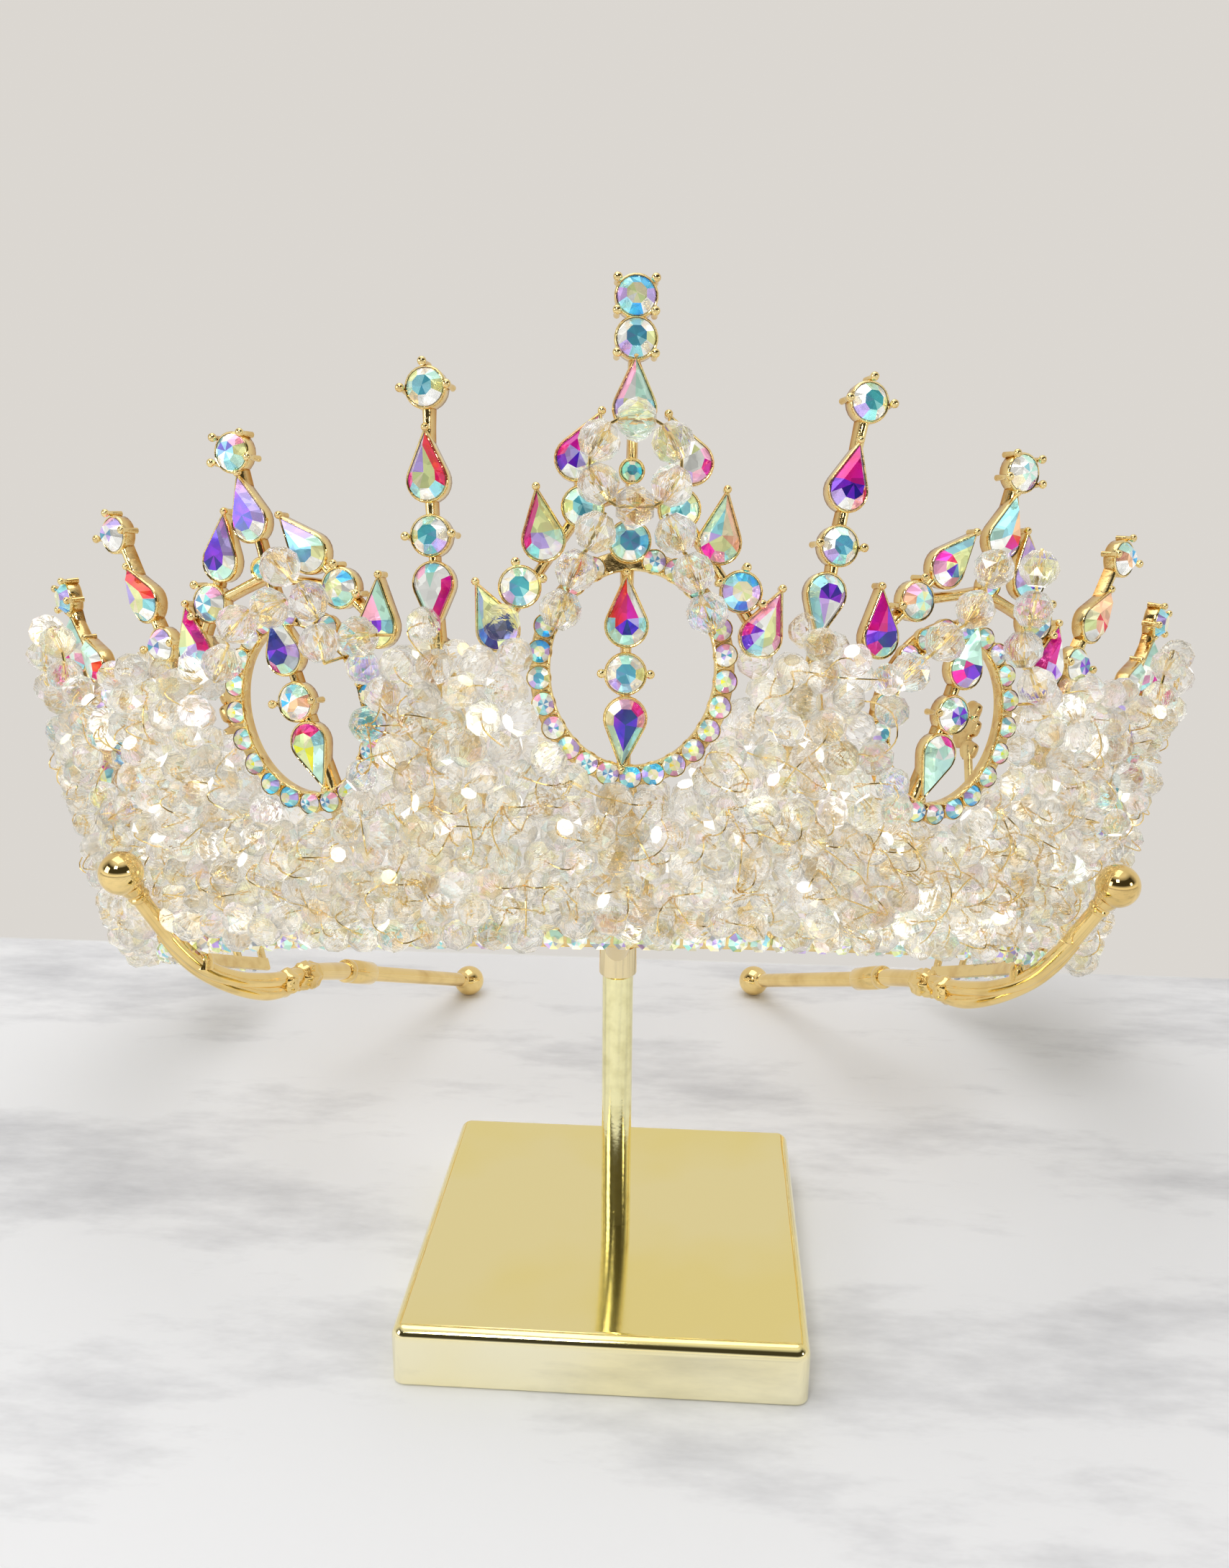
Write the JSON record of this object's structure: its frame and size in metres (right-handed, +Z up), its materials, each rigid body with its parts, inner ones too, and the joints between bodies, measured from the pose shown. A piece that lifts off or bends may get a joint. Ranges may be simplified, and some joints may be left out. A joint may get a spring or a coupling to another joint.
{
  "type": "rhinestone tiara on display stand",
  "caption": "Flared tiara of gold-coloured cast metal, iridescent cut stones and woven clear beads, leaning back on a plate-and-post display stand.",
  "frame": {"origin": "centre of the base plate's underside", "axes": "+Z up, -Y towards the tiara's front"},
  "size_m": [0.2153, 0.1828, 0.1546],
  "materials": {
    "plate_gold": "mirror-polished pale gold plating",
    "post_gold": "satin gold plating with small stains",
    "collar_gold": "polished gold plating",
    "rod_gold": "polished warm gold plating",
    "frame_gold": "cast, antiqued gold plating, darker in its recesses",
    "thread_gold": "fine drawn gold wire",
    "iris_stone": "foiled cut glass with an iridescent coat",
    "rim_stone": "small foiled cut glass with an iridescent coat",
    "clear_bead": "clear faceted glass",
    "field_bead": "clear faceted glass beads wired close together"
  },
  "bodies": {
    "root": {"base_plate": "plate_gold", "post": "post_gold", "post_collar": "collar_gold", "side_rod_left": "rod_gold", "side_rod_right": "rod_gold", "tiara_frame": "frame_gold", "centre_stone_1": "iris_stone", "centre_stone_2": "iris_stone", "centre_stone_3": "iris_stone", "centre_stone_4": "iris_stone", "centre_stone_5": "iris_stone", "centre_stone_6": "iris_stone", "centre_stone_7": "iris_stone", "centre_stone_8": "iris_stone", "centre_stone_9": "iris_stone", "centre_stone_10": "iris_stone", "centre_stone_11": "iris_stone", "centre_stone_12": "iris_stone", "centre_stone_13": "iris_stone", "centre_stone_14": "iris_stone", "centre_stone_15": "iris_stone", "centre_stone_16": "iris_stone", "centre_stone_17": "iris_stone", "centre_stone_18": "iris_stone", "left_spire_stone_1": "iris_stone", "left_spire_stone_2": "iris_stone", "left_spire_stone_3": "iris_stone", "left_spire_stone_4": "iris_stone", "right_spire_stone_1": "iris_stone", "right_spire_stone_2": "iris_stone", "right_spire_stone_3": "iris_stone", "right_spire_stone_4": "iris_stone", "left_side_stones": "iris_stone", "left_outer_spire_stones": "iris_stone", "left_end_stones": "iris_stone", "left_rim_stones": "rim_stone", "left_end_rim_stones": "rim_stone", "left_garland_beads": "clear_bead", "left_end_garland_beads": "clear_bead", "left_garland_thread": "thread_gold", "left_end_garland_thread": "thread_gold", "right_side_stones": "iris_stone", "right_outer_spire_stones": "iris_stone", "right_end_stones": "iris_stone", "right_rim_stones": "rim_stone", "right_end_rim_stones": "rim_stone", "right_garland_beads": "clear_bead", "right_end_garland_beads": "clear_bead", "right_garland_thread": "thread_gold", "right_end_garland_thread": "thread_gold", "centre_rim_stones": "rim_stone", "centre_garland_beads": "clear_bead", "centre_garland_thread": "thread_gold", "bead_field": "field_bead"}
  },
  "joints": []
}
